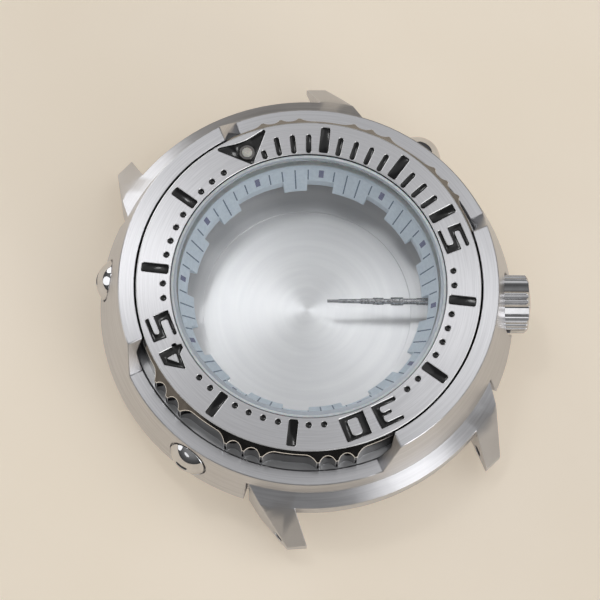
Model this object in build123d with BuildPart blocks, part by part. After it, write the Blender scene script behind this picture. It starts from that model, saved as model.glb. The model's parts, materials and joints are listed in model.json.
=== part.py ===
from build123d import *
from math import cos, hypot, pi, radians, sin, sqrt, tan
import os

# An empty diver's watch case, in millimetres. Z is up through the crystal, +Y points to
# 12 o'clock and +X to 3 o'clock. The origin is the centre of the case back's outer face.

# Crystal, its seal and its press ring
crystal_radius = 13.6
crystal_thickness = 2.0
crystal_proud = 0.1
crystal_bevel = 0.3
seal_wall = 0.25
seal_foot = 0.2
seal_below_bezel = 0.2
press_ring_wall = 0.35

# Mid-case, whose heights follow the crown's stem
stem_height = 6.6
tube_cover = 0.2
deck_rise = 0.6
case_bottom = 1.8
neck_wall = 1.2
seal_groove_width = 0.5
seal_groove_depth = 0.45
barrel_step = 1.15
barrel_foot_inset = 2.05
barrel_foot_rise = 1.2
chapter_bore_wall = 1.0
chapter_seat_lip = 0.6
chapter_lip_height = 0.5
movement_step = 0.55
back_bore_step = 1.25
back_bore_depth = 2.3

# Lug blocks at 12 and 6 o'clock
lug_gap = 20.0
lug_start_offset = 0.78
lug_notch_angle = 0.8
lug_width = 3.06
lug_tip_width = 1.9
lug_corner_inset = 1.98
lug_tip_offset = 2.2
lug_end_offset = 2.89
lug_bottom = 2.0
lug_tip_height = 2.82
ledge_inner_drop = 0.215
ledge_fall = 1.365
ledge_width = 2.25
hood_inset = 0.1
hood_bottom = 5.4
strap_recess_inset = 1.25
bar_hole_radius = 0.6
bar_hole_offset = 0.75
bar_hole_height = 3.0

# Bezel
bezel_height = 3.5
bezel_plate = 1.0
bezel_skirt = 2.77
bezel_grip_width = 0.94
bezel_edge_width = 0.12
bezel_edge_drop = 0.15
bezel_ridge_drop = 1.18
grip_groups = 12
ridge_pitch_angle = 6.0
ridge_tip_angle = 0.5
flute_depth = 0.5
scallop_depth = 0.62
scallop_floor_angle = 4.6
ratchet_teeth = 120
ratchet_depth = 0.25
ratchet_inset = 0.6
ratchet_band = 1.4
ratchet_tooth_share = 2 / 3

# Leaf spring that clicks under the bezel
spring_leaf_angle = 115.0
spring_leaf_length = 6.0
spring_leaf_width = 1.1
spring_leaf_thickness = 0.15
spring_leaf_foot = 1.6
spring_pocket_depth = 0.5

# Marks sunk into the bezel's face, placed by shares of a turn, clockwise from 12 o'clock
mark_inner_wall = 0.24
mark_outer_wall = 0.43
mark_depth = 0.3
fill_depth = 0.17
bar_width = 0.95
bar_corner = 0.2
fine_mark_wall = 0.13
dash_length = 1.99
dash_width = 0.52
drop_length = 0.96
dot_radius = 0.3
dot_inset = 0.47
triangle_half_width = 3.0
triangle_rise = 0.2
triangle_dip = 0.55
triangle_bow = 6.0
triangle_corner = 0.2
triangle_tip_wall = 0.04
digit_width = 2.6
digit_height = 2.5
digit_inset = 1.29
pip_inset = 1.22
pip_cup_radius = 0.8
pip_cup_wall = 0.16
pip_cup_depth = 0.7
pip_dome = 0.1
bar_shares = [5 / 60, 10 / 60, 84.6 / 360, 20 / 60, 25 / 60, 35 / 60, 40 / 60, 50 / 60, 55 / 60]
dash_shares = [2 / 60, 3 / 60, 4 / 60, 6 / 60, 7 / 60, 8 / 60, 9 / 60, 11 / 60, 12 / 60, 13 / 60]
drop_share = 1 / 60
dot_shares = [
    18 / 60, 19 / 60, 21 / 60, 22 / 60, 23 / 60, 24 / 60, 26 / 60, 27 / 60, 33 / 60, 34 / 60,
    36 / 60, 37 / 60, 38 / 60, 39 / 60, 41 / 60, 42 / 60, 48 / 60, 49 / 60, 51 / 60, 52 / 60,
    53 / 60, 54 / 60, 56 / 60, 57 / 60, 58 / 60,
]
# Each digit's numeral, as a share of a turn, then its own place, towards which it leans
numeral_shares = [
    ("5", 1 / 4, 95.2 / 360), ("3", 1 / 2, 173.35 / 360), ("0", 1 / 2, 186.65 / 360),
    ("4", 3 / 4, 263.35 / 360), ("5", 3 / 4, 277 / 360),
]
digit_lean_share = 1 / 3

# Digits drawn upright in a unit square: across, up, and the corner's radius, a share of the width
digit_outline_shares = {
    "5": [
        (0, 0, 0.06), (1, 0, 0.03), (1, 0.62, 0.03), (0.25, 0.62, 0.1), (0.25, 0.85, 0.1),
        (0.97, 0.85, 0.06), (0.97, 1, 0.06), (0, 1, 0.03), (0, 0.44, 0.03), (0.7, 0.44, 0.09),
        (0.7, 0.14, 0.09), (0, 0.14, 0.06),
    ],
    "3": [
        (0, 0, 0.06), (1, 0, 0.03), (1, 1, 0.03), (0.03, 1, 0.06), (0.03, 0.85, 0.06),
        (0.76, 0.85, 0.11), (0.76, 0.56, 0.11), (0.35, 0.56, 0.05), (0.35, 0.43, 0.05),
        (0.74, 0.43, 0.1), (0.74, 0.17, 0.1), (0, 0.17, 0.06),
    ],
    "0": [(0, 0, 0.03), (1, 0, 0.03), (1, 1, 0.04), (0, 1, 0.04)],
    "4": [
        (-0.04, 0.3, 0.03), (0.6, 0.25, 0.03), (0.78, 0.02, 0.04), (0.95, 0.02, 0.04),
        (0.97, 0.2, 0.02), (1.06, 0.24, 0.03), (1.06, 0.37, 0.03), (0.98, 0.4, 0.02),
        (0.96, 1, 0.04), (0.46, 1, 0.03),
    ],
}
digit_hole_shares = {
    "0": [(0.29, 0.15, 0.1), (0.72, 0.15, 0.1), (0.72, 0.86, 0.13), (0.29, 0.86, 0.13)],
    "4": [(0.27, 0.42, 0.04), (0.69, 0.37, 0.04), (0.66, 0.82, 0.04)],
}

# Shroud around the bezel, and its three screws, placed by shares of a turn like the marks
shroud_rim_wall = 0.68
shroud_draft_angle = 14.14
shroud_dip = 3.25
shroud_skirt_height = 3.9
low_part_shares = (1 / 8, 5 / 8)
low_part_half_angle = 43.0
ramp_width = 2.15
window_shares = (0, 1 / 2)
window_half_angle = 41.6
screw_shares = {"2h": 2 / 12, "8h": 8 / 12, "10h": 10 / 12}
screw_drop = 1.6
screw_head_radius = 2.05
screw_head_dome = 0.78
screw_head_sink = 0.5
screw_shank_radius = 0.8
screw_length = 2.5
screw_slot_length = 1.35
screw_slot_width = 0.42
screw_slot_depth = 0.4
screw_recess_gap = 0.15

# Chapter ring, and half of each notch, from 12 o'clock on, as a share of a turn
chapter_height = 3.35
chapter_rim_drop = 0.75
chapter_rim_wall = 0.09
chapter_width = 1.58
chapter_tip_height = 0.25
chapter_notch_inset = 0.9
plain_notch_share = 6.4 / 360
notch_half_shares = [12 / 360] + [plain_notch_share] * 5 + [7.5 / 360] + [
    plain_notch_share, plain_notch_share, 8 / 360, plain_notch_share, plain_notch_share,
]
top_angle = 90.0
full_turn_angle = 360.0

# Case back
back_flange = 1.9
back_boss_height = 1.6
back_floor_step = 0.15
back_step_radius = 10.7
back_edge = 0.5
back_thread_pitch = 0.45
back_thread_depth = 0.15
back_seal_offset = 0.75
back_seal_section = 0.34
tool_notches = 6
tool_notch_width = 2.4
tool_notch_depth = 1.1
tool_notch_height = 1.0
ring_groove_radius = 11.8
ring_groove_width = 0.35
ring_groove_depth = 0.12

# Crown, tube and stem, placed by their distance from the watch's centre
crown_angle = -24.0
crown_seat_inset = 0.7
crown_radius = 3.0
crown_length = 3.45
crown_dome = 0.35
crown_dome_radius = 2.2
crown_edge = 0.3
crown_pocket_gap = 0.25
crown_cavity_depth = 2.3
crown_groups = 6
crown_ridge_pitch_angle = 10.5
crown_ridge_tip_angle = 1.0
crown_flute_depth = 0.17
crown_scallop_depth = 0.34
crown_scallop_floor_angle = 8.0
tube_radius = 1.8
tube_bore = 1.25
tube_start_offset = 0.55
tube_thread_pitch = 0.35
tube_thread_depth = 0.13
sleeve_length = 3.45
sleeve_bore = 0.75
sleeve_extra_depth = 0.3
washer_thickness = 0.15
crown_seal_thickness = 0.3
tube_seal_section = 0.14
tube_seal_from_end = 0.6
plunger_reach = 2.05
plunger_length = 3.3
plunger_thread_depth = 2.0
spring_wire = 0.1
spring_turns = 4.5

# Winding stem: pilot, square, collars and thread, as shares of its length and thread radius
stem_tip = 1.99
stem_thread_radius = 0.42
stem_step_shares = [
    (0, 0.38), (0.07, 0.52), (0.202, 0.69), (0.276, 0.9), (0.34, 0.64), (0.383, 1),
    (0.459, 0.71), (0.54, 0.86), (0.61, 1),
]

# Clearances
running_gap = 0.1
snug_gap = 0.05
press_gap = 0.01
bezel_to_shroud = 0.2
grip_to_shroud = 0.23
bezel_eye_gap = 0.09
window_gap = 0.06
overrun = 1.0

# Radii worked out from the values above
seal_radius = crystal_radius + seal_wall
seat_radius = seal_radius + press_ring_wall
neck_radius = seat_radius + neck_wall
bezel_bore = neck_radius + running_gap
bezel_eye = seal_radius + bezel_eye_gap
grip_radius = bezel_bore + bezel_skirt
bezel_face_radius = grip_radius - bezel_grip_width
ratchet_inner_radius = bezel_bore + ratchet_inset
shroud_bore = grip_radius + grip_to_shroud
shroud_rim_radius = shroud_bore + shroud_rim_wall
shroud_lip_radius = bezel_face_radius + bezel_to_shroud
deck_radius = shroud_bore - running_gap
barrel_radius = shroud_bore + barrel_step
shroud_skirt_bore = barrel_radius + snug_gap
ledge_radius = barrel_radius + ledge_width
hood_radius = ledge_radius - hood_inset
chapter_bore = seat_radius - chapter_bore_wall
chapter_radius = chapter_bore - snug_gap
chapter_cone_radius = chapter_radius - chapter_rim_wall
movement_bore = chapter_bore + movement_step
back_bore = movement_bore + back_bore_step
back_radius = back_bore + back_flange
back_thread_radius = back_bore - running_gap
back_seal_radius = back_bore + back_seal_offset
mark_inner_radius = bezel_eye + mark_inner_wall
mark_outer_radius = bezel_face_radius - mark_outer_wall
mark_length = mark_outer_radius - mark_inner_radius
fine_inner_radius = bezel_eye + fine_mark_wall
digit_centre_radius = mark_inner_radius + digit_inset
pip_centre_radius = mark_inner_radius + pip_inset
crown_seat = barrel_radius - crown_seat_inset
crown_base = crown_seat + running_gap

# Heights worked out from the values above
shelf_height = stem_height + tube_radius + tube_cover
deck_height = shelf_height + deck_rise
bezel_bottom = deck_height + running_gap
bezel_top = bezel_bottom + bezel_height
bezel_plate_bottom = bezel_top - bezel_plate
neck_top = bezel_plate_bottom - running_gap
crystal_top = bezel_top + crystal_proud
crystal_bottom = crystal_top - crystal_thickness
seat_height = crystal_bottom - seal_foot
chapter_top = crystal_bottom - snug_gap
chapter_bottom = chapter_top - chapter_height
ledge_inner_height = shelf_height - ledge_inner_drop
ledge_height = ledge_inner_height - ledge_fall
ledge_slope = ledge_fall / ledge_width
grip_cone_run = bezel_grip_width - bezel_edge_width
grip_cone_slope = (bezel_ridge_drop - bezel_edge_drop) / grip_cone_run
shroud_low_height = bezel_top - shroud_dip
shroud_skirt_bottom = shelf_height - shroud_skirt_height
shroud_slope = tan(radians(shroud_draft_angle))
screw_height = shelf_height - screw_drop
back_floor = case_bottom + back_boss_height


def direction(angle):
    return Vector(cos(radians(angle)), sin(radians(angle)), 0)


def clock_angle(share):
    # Angle from 3 o'clock of a place that lies this share of a turn clockwise from 12
    return top_angle - full_turn_angle * share


def beside(angle):
    # Square to that direction, anticlockwise seen from above
    return Vector(-sin(radians(angle)), cos(radians(angle)), 0)


def polar(radius, angle):
    return (radius * cos(radians(angle)), radius * sin(radians(angle)))


def side_plane(angle=0.0):
    # Stands on the Z axis; its x runs outward at the angle and its y runs up
    return Plane(origin=(0, 0, 0), x_dir=direction(angle), z_dir=-beside(angle))


def turn(points, angle=0.0, arc=360.0, mode=Mode.ADD):
    # Turns a closed outline of (radius, height) points about the watch's axis
    with BuildSketch(side_plane(angle), mode=Mode.PRIVATE) as section:
        with BuildLine():
            Polyline(*points, close=True)
        make_face()
    revolve(section.sketch, axis=Axis.Z, revolution_arc=arc, mode=mode)


def turn_on(plane, points, mode=Mode.ADD):
    # Turns a closed outline of (along, radius) points about the plane's x axis
    with BuildSketch(plane, mode=Mode.PRIVATE) as section:
        with BuildLine():
            Polyline(*points, close=True)
        make_face()
    revolve(section.sketch, axis=Axis(plane.origin, plane.x_dir), mode=mode)


def tube_points(start, end, inner, outer):
    return [(start, inner), (end, inner), (end, outer), (start, outer)]


crown_plane = Plane(
    origin=(0, 0, stem_height), x_dir=direction(crown_angle), z_dir=-beside(crown_angle)
)

# The screws stand square to the shroud's sloping wall
screw_wall_radius = shroud_rim_radius + shroud_slope * (bezel_top - screw_height)


def screw_plane(angle):
    draft = radians(shroud_draft_angle)
    outward = direction(angle) * cos(draft) + Vector(0, 0, sin(draft))
    spot = direction(angle) * screw_wall_radius + Vector(0, 0, screw_height)
    return Plane(origin=spot, x_dir=outward, z_dir=-beside(angle))


def grip_outline(tip_radius, groups, pitch, tip, flute, scallop, floor_half):
    # One closed plan outline: three ridges and two flutes in each group, then a wide scallop
    group_angle = full_turn_angle / groups
    with BuildLine(mode=Mode.PRIVATE) as outline:
        for group in range(groups):
            middle = (group + 0.5) * group_angle
            for ridge in (-1, 0, 1):
                centre = middle + ridge * pitch
                start = polar(tip_radius, centre - tip)
                top = polar(tip_radius, centre)
                end = polar(tip_radius, centre + tip)
                ThreePointArc(start, top, end)
                if ridge < 1:
                    valley = polar(tip_radius - flute, centre + pitch / 2)
                    ThreePointArc(end, valley, polar(tip_radius, centre + pitch - tip))
            rise = middle + pitch + tip
            hollow = middle + group_angle / 2
            fall = middle + group_angle - pitch - tip
            floor = tip_radius - scallop
            floor_start = polar(floor, hollow - floor_half)
            floor_end = polar(floor, hollow + floor_half)
            along_start = beside(hollow - floor_half)
            along_end = beside(hollow + floor_half)
            TangentArc(floor_start, polar(tip_radius, rise), tangent=-along_start)
            ThreePointArc(floor_start, polar(floor, hollow), floor_end)
            TangentArc(floor_end, polar(tip_radius, fall), tangent=along_end)
    return outline.line


# Mid-case: a turned barrel with a neck, joined to the two lug blocks
lug_gap_half = lug_gap / 2
lug_corner_x = lug_gap_half + lug_width
lug_corner_y = barrel_radius - lug_corner_inset
lug_tip_x = lug_gap_half + lug_tip_width
lug_tip_y = barrel_radius + lug_tip_offset
lug_end_y = barrel_radius + lug_end_offset
lug_start_angle = top_angle - window_half_angle + lug_notch_angle
lug_start_x, lug_start_y = polar(barrel_radius + lug_start_offset, lug_start_angle)
lug_reach = max(hypot(lug_tip_x, lug_tip_y), hypot(lug_gap_half, lug_end_y))
hood_corner_y = sqrt(hood_radius**2 - lug_gap_half**2)
strap_recess_y = barrel_radius - strap_recess_inset

with BuildPart() as mid_case:
    for side in (1, -1):
        with BuildSketch(Plane.XY.offset(lug_bottom)):
            with BuildLine():
                Polyline(
                    (lug_gap_half, side * hood_corner_y),
                    (lug_gap_half, side * lug_end_y),
                    (lug_tip_x, side * lug_tip_y),
                    (lug_corner_x, side * lug_corner_y),
                    (lug_start_x, side * lug_start_y),
                    (0, side * back_bore / 2),
                    (-lug_start_x, side * lug_start_y),
                    (-lug_corner_x, side * lug_corner_y),
                    (-lug_tip_x, side * lug_tip_y),
                    (-lug_gap_half, side * lug_end_y),
                    (-lug_gap_half, side * hood_corner_y),
                )
                ThreePointArc(
                    (-lug_gap_half, side * hood_corner_y),
                    (0, side * hood_radius),
                    (lug_gap_half, side * hood_corner_y),
                )
            make_face()
    extrude(amount=ledge_inner_height - lug_bottom)
    turn(tube_points(0, back_bore, lug_bottom - overrun, shelf_height), mode=Mode.SUBTRACT)
    # The ledge slopes down from the shroud, and the lugs more steeply from the ledge
    cone_reach = max(lug_reach, ledge_radius) + overrun
    lug_slope = (ledge_height - lug_tip_height) / (lug_reach - ledge_radius)
    turn([
        (barrel_radius, ledge_inner_height),
        (cone_reach, ledge_inner_height - ledge_slope * (cone_reach - barrel_radius)),
        (cone_reach, shelf_height + overrun),
        (barrel_radius, shelf_height + overrun),
    ], mode=Mode.SUBTRACT)
    turn([
        (ledge_radius, ledge_height),
        (cone_reach, ledge_height - lug_slope * (cone_reach - ledge_radius)),
        (cone_reach, shelf_height + overrun),
        (ledge_radius, shelf_height + overrun),
    ], mode=Mode.SUBTRACT)
    for side in (1, -1):
        with BuildSketch(Plane.XY.offset(lug_bottom - overrun)):
            with Locations((0, side * (strap_recess_y + lug_reach) / 2)):
                Rectangle(lug_gap, lug_reach - strap_recess_y)
    extrude(amount=hood_bottom - lug_bottom + overrun, mode=Mode.SUBTRACT)
    turn([
        (back_bore, case_bottom),
        (barrel_radius - barrel_foot_inset, case_bottom),
        (barrel_radius, case_bottom + barrel_foot_rise),
        (barrel_radius, shelf_height),
        (deck_radius, shelf_height),
        (deck_radius, deck_height),
        (neck_radius, deck_height),
        (neck_radius, neck_top),
        (seat_radius, neck_top),
        (seat_radius, seat_height),
        (chapter_bore, seat_height),
        (chapter_bore, chapter_bottom),
        (chapter_bore - chapter_seat_lip, chapter_bottom),
        (chapter_bore - chapter_seat_lip, chapter_bottom - chapter_lip_height),
        (movement_bore, chapter_bottom - chapter_lip_height),
        (movement_bore, case_bottom + back_bore_depth),
        (back_bore, case_bottom + back_bore_depth),
    ])
    # The strap's recess also bites into the barrel between the lugs
    for side in (1, -1):
        with BuildSketch(Plane.XY.offset(case_bottom - overrun)):
            with Locations((0, side * (strap_recess_y + lug_reach) / 2)):
                Rectangle(lug_gap, lug_reach - strap_recess_y)
    extrude(amount=hood_bottom - case_bottom + overrun, mode=Mode.SUBTRACT)
    # Groove for the bezel's friction seal
    turn(
        tube_points(neck_radius - seal_groove_depth, neck_radius + overrun,
                    seat_height - seal_groove_width, seat_height),
        mode=Mode.SUBTRACT,
    )
    # Bores for the spring bars
    for side in (1, -1):
        with BuildSketch(Plane.YZ.offset(-lug_corner_x)):
            with Locations((side * (barrel_radius + bar_hole_offset), bar_hole_height)):
                Circle(bar_hole_radius)
    extrude(amount=2 * lug_corner_x, mode=Mode.SUBTRACT)
    # Pocket behind the crown, and the bore that holds its tube
    turn_on(crown_plane, tube_points(crown_seat, lug_reach, 0, crown_radius + crown_pocket_gap),
            mode=Mode.SUBTRACT)
    turn_on(crown_plane, tube_points(movement_bore - overrun, lug_reach,
                                     0, tube_radius + press_gap),
            mode=Mode.SUBTRACT)
    for angle in [clock_angle(share) for share in screw_shares.values()]:
        turn_on(screw_plane(angle), tube_points(-screw_length - snug_gap, 0, 0,
                                                screw_shank_radius + press_gap),
                mode=Mode.SUBTRACT)

# Click spring in a straight pocket of the deck
leaf_radius = ratchet_inner_radius + ratchet_band / 2
leaf_plane = Plane(
    origin=direction(spring_leaf_angle) * (leaf_radius - spring_leaf_width / 2),
    x_dir=beside(spring_leaf_angle),
    z_dir=direction(spring_leaf_angle),
)
leaf_floor = deck_height - spring_pocket_depth
leaf_tip_top = bezel_bottom - running_gap
pocket_plane = leaf_plane.offset(-running_gap)
with BuildPart(mode=Mode.PRIVATE) as leaf_pocket:
    with BuildSketch(pocket_plane):
        with Locations((0, leaf_floor + overrun / 2)):
            Rectangle(spring_leaf_length + 2 * running_gap, overrun)
    extrude(amount=spring_leaf_width + 2 * running_gap)
with mid_case:
    add(leaf_pocket.part, mode=Mode.SUBTRACT)

with BuildPart() as bezel_click_spring:
    with BuildSketch(leaf_plane):
        with BuildLine():
            Polyline(
                (-spring_leaf_length / 2, leaf_floor),
                (spring_leaf_foot - spring_leaf_length / 2, leaf_floor),
                (spring_leaf_length / 2, leaf_tip_top - spring_leaf_thickness),
                (spring_leaf_length / 2, leaf_tip_top),
                (spring_leaf_length / 2 - spring_leaf_thickness, leaf_tip_top),
                (spring_leaf_foot - spring_leaf_length / 2, leaf_floor + spring_leaf_thickness),
                (-spring_leaf_length / 2, leaf_floor + spring_leaf_thickness),
                close=True,
            )
        make_face()
    extrude(amount=spring_leaf_width)

# Friction seal between the neck and the bezel
friction_section = (bezel_bore - snug_gap - neck_radius + seal_groove_depth) / 2
with BuildPart() as bezel_gasket:
    with BuildSketch(Plane.XZ):
        with Locations((neck_radius - seal_groove_depth + friction_section,
                        seat_height - seal_groove_width / 2)):
            Rectangle(2 * friction_section, seal_groove_width - 2 * snug_gap)
    revolve(axis=Axis.Z)

# Crystal, its L-shaped seal and the ring that presses the seal onto it
with BuildPart() as crystal:
    turn([
        (0, crystal_bottom),
        (crystal_radius, crystal_bottom),
        (crystal_radius, crystal_top - crystal_bevel),
        (crystal_radius - crystal_bevel, crystal_top),
        (0, crystal_top),
    ])

with BuildPart() as crystal_gasket:
    turn([
        (chapter_bore, seat_height),
        (seal_radius, seat_height),
        (seal_radius, bezel_top - seal_below_bezel),
        (crystal_radius, bezel_top - seal_below_bezel),
        (crystal_radius, crystal_bottom),
        (chapter_bore, crystal_bottom),
    ])

with BuildPart() as crystal_press_ring:
    turn(tube_points(seal_radius, seat_radius, seat_height, neck_top - running_gap))

# Chapter ring: a short wall, then a cone with a notch at each hour
chapter_tip_radius = chapter_radius - chapter_width
with BuildPart() as chapter_ring:
    turn([
        (chapter_tip_radius, chapter_bottom),
        (chapter_radius, chapter_bottom),
        (chapter_radius, chapter_top),
        ((chapter_radius + chapter_cone_radius) / 2, chapter_top),
        (chapter_cone_radius, chapter_top - chapter_rim_drop),
        (chapter_tip_radius, chapter_bottom + chapter_tip_height),
    ])
    for hour, half_share in enumerate(notch_half_shares):
        middle = clock_angle(hour / len(notch_half_shares))
        half = full_turn_angle * half_share
        turn(
            tube_points(chapter_tip_radius - overrun, chapter_radius - chapter_notch_inset,
                        chapter_bottom - overrun, chapter_top),
            angle=middle - half, arc=2 * half, mode=Mode.SUBTRACT,
        )

# Screwed case back with its seal
back_seal_groove = back_seal_section + snug_gap
with BuildPart() as case_back:
    turn([
        (0, 0),
        (back_radius - back_edge, 0),
        (back_radius, back_edge),
        (back_radius, case_bottom),
        (back_thread_radius, case_bottom),
        (back_thread_radius, back_floor + back_floor_step),
        (back_step_radius, back_floor + back_floor_step),
        (back_step_radius, back_floor),
        (0, back_floor),
    ])
    thread_count = int(back_boss_height / back_thread_pitch)
    for step in range(thread_count):
        groove_height = case_bottom + (step + 0.5) * back_thread_pitch
        turn([
            (back_thread_radius - back_thread_depth, groove_height),
            (back_thread_radius + running_gap, groove_height - back_thread_pitch / 3),
            (back_thread_radius + running_gap, groove_height + back_thread_pitch / 3),
        ], mode=Mode.SUBTRACT)
    turn(
        tube_points(back_seal_radius - back_seal_groove, back_seal_radius + back_seal_groove,
                    case_bottom - 2 * back_seal_section, case_bottom + overrun),
        mode=Mode.SUBTRACT,
    )
    turn(
        tube_points(ring_groove_radius - ring_groove_width / 2,
                    ring_groove_radius + ring_groove_width / 2,
                    -overrun, ring_groove_depth),
        mode=Mode.SUBTRACT,
    )
    with BuildSketch(Plane.XY.offset(-overrun)):
        with PolarLocations(back_radius, tool_notches):
            Rectangle(2 * tool_notch_depth, tool_notch_width)
    extrude(amount=tool_notch_height + overrun, mode=Mode.SUBTRACT)

with BuildPart() as case_back_gasket:
    with BuildSketch(Plane.XZ):
        with Locations((back_seal_radius, case_bottom - back_seal_section)):
            Circle(back_seal_section)
    revolve(axis=Axis.Z)

# Bezel: a turned ring whose side is cut to the grip's outline
with BuildPart() as bezel:
    with BuildSketch(Plane.XY.offset(bezel_bottom)):
        with BuildLine():
            add(grip_outline(grip_radius, grip_groups, ridge_pitch_angle, ridge_tip_angle,
                             flute_depth, scallop_depth, scallop_floor_angle))
        make_face()
    extrude(amount=bezel_height)
    turn([
        (bezel_bore, bezel_bottom),
        (grip_radius + overrun, bezel_bottom),
        (grip_radius + overrun, bezel_top - bezel_ridge_drop - grip_cone_slope * overrun),
        (bezel_face_radius + bezel_edge_width, bezel_top - bezel_edge_drop),
        (bezel_face_radius, bezel_top),
        (bezel_eye, bezel_top),
        (bezel_eye, bezel_plate_bottom),
        (bezel_bore, bezel_plate_bottom),
    ], mode=Mode.INTERSECT)
    # Ratchet teeth under the bezel, sloped so that it turns one way
    tooth_pitch = 2 * pi * leaf_radius / ratchet_teeth
    tooth_half = ratchet_tooth_share * tooth_pitch / 2
    tooth_base = Plane(origin=(ratchet_inner_radius, 0, bezel_bottom), x_dir=(0, 1, 0),
                       z_dir=(1, 0, 0))
    with BuildSketch(tooth_base, mode=Mode.PRIVATE) as tooth_section:
        with BuildLine():
            Polyline(
                (-tooth_half, -ratchet_depth),
                (-tooth_half, ratchet_depth),
                (tooth_half, 0),
                (tooth_half, -ratchet_depth),
                close=True,
            )
        make_face()
    tooth = extrude(tooth_section.sketch, amount=ratchet_band, mode=Mode.PRIVATE)
    with PolarLocations(0, ratchet_teeth):
        add(tooth, mode=Mode.SUBTRACT)


def corner_arc(before, corner, after, radius):
    # Start, middle and end of the arc that rounds a corner
    back = (before - corner).normalized()
    ahead = (after - corner).normalized()
    half = radians(back.get_angle(ahead) / 2)
    middle = corner + (back + ahead).normalized() * (radius / sin(half) - radius)
    return corner + back * (radius / tan(half)), middle, corner + ahead * (radius / tan(half))


def rounded_outline(points, mode=Mode.ADD):
    # A closed face, from the place and radius of each corner
    corners = [Vector(x, y) for x, y, radius in points]
    ahead = corners[1:] + corners[:1]
    arcs = [
        corner_arc(corners[place - 1], corners[place], ahead[place], points[place][2])
        for place in range(len(points))
    ]
    with BuildSketch(mode=Mode.PRIVATE) as face:
        with BuildLine():
            for place, (start, middle, end) in enumerate(arcs):
                Line(arcs[place - 1][2], start)
                ThreePointArc(start, middle, end)
        make_face()
    add(face.sketch, mode=mode)


def digit_corners(shares, angle, upright):
    corners = []
    centre = direction(angle) * digit_centre_radius
    for across, up, corner_share in shares:
        rise = direction(upright) * (up * digit_height - digit_height / 2)
        spot = centre + rise - beside(upright) * (across * digit_width - digit_width / 2)
        corners.append((spot.X, spot.Y, corner_share * digit_width))
    return corners


def mark_sketch(height):
    # Plan outlines of the sunk marks: bars, dashes, dots, triangle and digits
    with BuildSketch(Plane.XY.offset(height)) as marks:
        for angle in [clock_angle(share) for share in bar_shares]:
            spot = polar(mark_inner_radius + mark_length / 2, angle)
            with Locations(Location((*spot, 0), (0, 0, angle))):
                RectangleRounded(mark_length, bar_width, bar_corner)
        for angle in [clock_angle(share) for share in dash_shares]:
            spot = polar(fine_inner_radius + dash_length / 2, angle)
            with Locations(Location((*spot, 0), (0, 0, angle))):
                SlotOverall(dash_length, dash_width)
        angle = clock_angle(drop_share)
        spot = polar(fine_inner_radius + drop_length / 2, angle)
        with Locations(Location((*spot, 0), (0, 0, angle))):
            SlotOverall(drop_length, dash_width)
        for angle in [clock_angle(share) for share in dot_shares]:
            with Locations(polar(mark_inner_radius + dot_inset, angle)):
                Circle(dot_radius)
        # The triangle's outer side is bowed inwards behind the pip
        triangle_top = mark_outer_radius + triangle_rise
        rounded_outline([
            (0, bezel_eye + triangle_tip_wall, triangle_corner),
            (triangle_half_width, triangle_top, triangle_corner),
            (0, triangle_top - triangle_dip, triangle_bow),
            (-triangle_half_width, triangle_top, triangle_corner),
        ])
        for digit, numeral_share, share in numeral_shares:
            angle = clock_angle(share)
            upright = clock_angle(numeral_share + digit_lean_share * (share - numeral_share))
            rounded_outline(digit_corners(digit_outline_shares[digit], angle, upright))
            if digit in digit_hole_shares:
                hole = digit_corners(digit_hole_shares[digit], angle, upright)
                rounded_outline(hole, mode=Mode.SUBTRACT)
    return marks.sketch


pip_spot = Plane(origin=(0, pip_centre_radius, bezel_top))
mark_floor = bezel_top - mark_depth
with bezel:
    extrude(mark_sketch(bezel_top), amount=-mark_depth, mode=Mode.SUBTRACT)
    with BuildSketch(pip_spot):
        Circle(pip_cup_radius)
    extrude(amount=-pip_cup_depth, mode=Mode.SUBTRACT)

with BuildPart() as bezel_inlays:
    extrude(mark_sketch(mark_floor), amount=mark_depth - fill_depth)
    with BuildSketch(pip_spot):
        Circle(pip_cup_radius)
    extrude(amount=-pip_cup_depth, mode=Mode.SUBTRACT)

pip_bore = pip_cup_radius - pip_cup_wall
with BuildPart() as bezel_pip_cup:
    with BuildSketch(pip_spot.offset(-pip_cup_depth)):
        Circle(pip_cup_radius)
    extrude(amount=pip_cup_depth)
    with BuildSketch(pip_spot):
        Circle(pip_bore)
    extrude(amount=pip_cup_wall - pip_cup_depth, mode=Mode.SUBTRACT)

with BuildPart() as bezel_pip_pearl:
    with BuildSketch(Plane(origin=(0, pip_centre_radius, 0), x_dir=(1, 0, 0), z_dir=(0, -1, 0))):
        with BuildLine():
            Line((0, bezel_top + pip_dome), (0, bezel_top - pip_cup_depth + pip_cup_wall))
            Line((0, bezel_top - pip_cup_depth + pip_cup_wall),
                 (pip_bore, bezel_top - pip_cup_depth + pip_cup_wall))
            Line((pip_bore, bezel_top - pip_cup_depth + pip_cup_wall), (pip_bore, bezel_top))
            TangentArc((0, bezel_top + pip_dome), (pip_bore, bezel_top), tangent=(1, 0))
        make_face()
    revolve(axis=Axis((0, pip_centre_radius, 0), (0, 0, 1)))

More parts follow.
